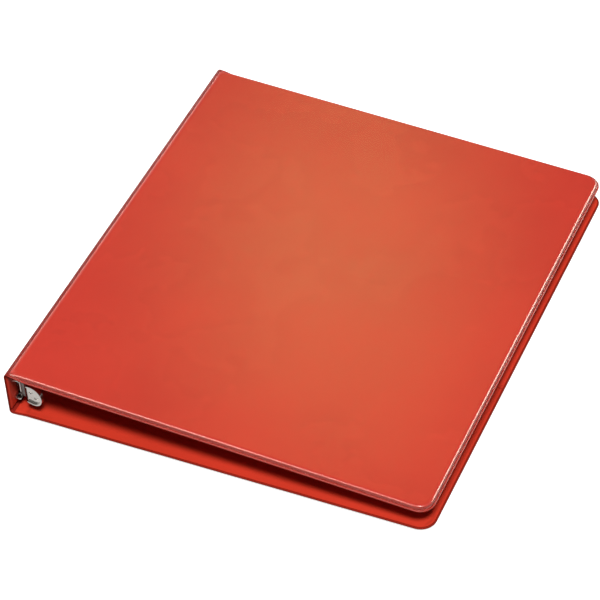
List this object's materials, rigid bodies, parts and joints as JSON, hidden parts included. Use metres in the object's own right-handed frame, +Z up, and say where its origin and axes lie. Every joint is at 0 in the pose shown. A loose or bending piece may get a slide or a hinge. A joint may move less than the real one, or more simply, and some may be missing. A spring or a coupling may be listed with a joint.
{
  "type": "ring binder",
  "caption": "Closed view binder lying flat: red vinyl covers over board, clear outer overlays, and a lever-opened round-ring mechanism riveted to the spine.",
  "frame": {"origin": "bottom centre of the closed binder's bounding box, on the surface it lies on", "axes": "+X from the spine to the fore edge, +Y along the spine to the top edge of the covers, +Z up, away from the back cover"},
  "size_m": [0.2608, 0.292, 0.033],
  "materials": {
    "red_vinyl": "smooth semi-gloss, fine grain",
    "pocket_vinyl": "smooth semi-gloss",
    "clear_film": "clear glossy film",
    "greyboard": "matte",
    "nickel_steel": "bright nickel plate"
  },
  "bodies": {
    "back_cover": {"back_board": "greyboard", "back_outer_vinyl": "red_vinyl", "back_liner": "red_vinyl", "back_clear_overlay": "clear_film", "back_inside_pocket": "pocket_vinyl"},
    "spine": {"spine_board": "greyboard", "spine_outer_vinyl": "red_vinyl", "spine_liner": "red_vinyl", "spine_clear_overlay": "clear_film", "back_hinge_strip": "red_vinyl", "front_hinge_strip": "red_vinyl", "ring_housing": "nickel_steel", "mounting_rivets": "nickel_steel", "bottom_lever_pin": "nickel_steel", "top_lever_pin": "nickel_steel"},
    "front_cover": {"front_board": "greyboard", "front_outer_vinyl": "red_vinyl", "front_liner": "red_vinyl", "front_clear_overlay": "clear_film", "front_inside_pocket": "pocket_vinyl"},
    "front_ring_side": {"front_rail": "nickel_steel", "front_half_ring_bottom": "nickel_steel", "front_half_ring_middle": "nickel_steel", "front_half_ring_top": "nickel_steel"},
    "back_ring_side": {"back_rail": "nickel_steel", "back_half_ring_bottom": "nickel_steel", "back_half_ring_middle": "nickel_steel", "back_half_ring_top": "nickel_steel"},
    "bottom_lever": {"bottom_lever": "nickel_steel"},
    "top_lever": {"top_lever": "nickel_steel"}
  },
  "joints": [
    {"name": "spine_hinge", "type": "hinge", "parent": "back_cover", "child": "spine", "pos_m": [-0.12785, 0, 0.0017], "axis": [0, -1, 0], "range_deg": [0, 90]},
    {"name": "front_hinge", "type": "hinge", "parent": "spine", "child": "front_cover", "pos_m": [-0.12785, 0, 0.0315], "axis": [0, -1, 0], "range_deg": [-2.7, 93.3]},
    {"name": "front_rings", "type": "hinge", "parent": "spine", "child": "front_ring_side", "pos_m": [-0.1247, 0, 0.0229], "axis": [0, -1, 0], "range_deg": [0, 14]},
    {"name": "back_rings", "type": "hinge", "parent": "spine", "child": "back_ring_side", "pos_m": [-0.1247, 0, 0.0103], "axis": [0, 1, 0], "range_deg": [0, 14]},
    {"name": "bottom_lever_turn", "type": "hinge", "parent": "spine", "child": "bottom_lever", "pos_m": [-0.1239, -0.1375, 0.0166], "axis": [0, 0, -1], "range_deg": [0, 22]},
    {"name": "top_lever_turn", "type": "hinge", "parent": "spine", "child": "top_lever", "pos_m": [-0.1239, 0.1375, 0.0166], "axis": [0, 0, 1], "range_deg": [0, 22]}
  ],
  "couplings": [
    {"joint": "back_rings", "follows": "front_rings", "ratio": 1},
    {"joint": "bottom_lever_turn", "follows": "front_rings", "ratio": 1.5714},
    {"joint": "top_lever_turn", "follows": "front_rings", "ratio": 1.5714}
  ]
}
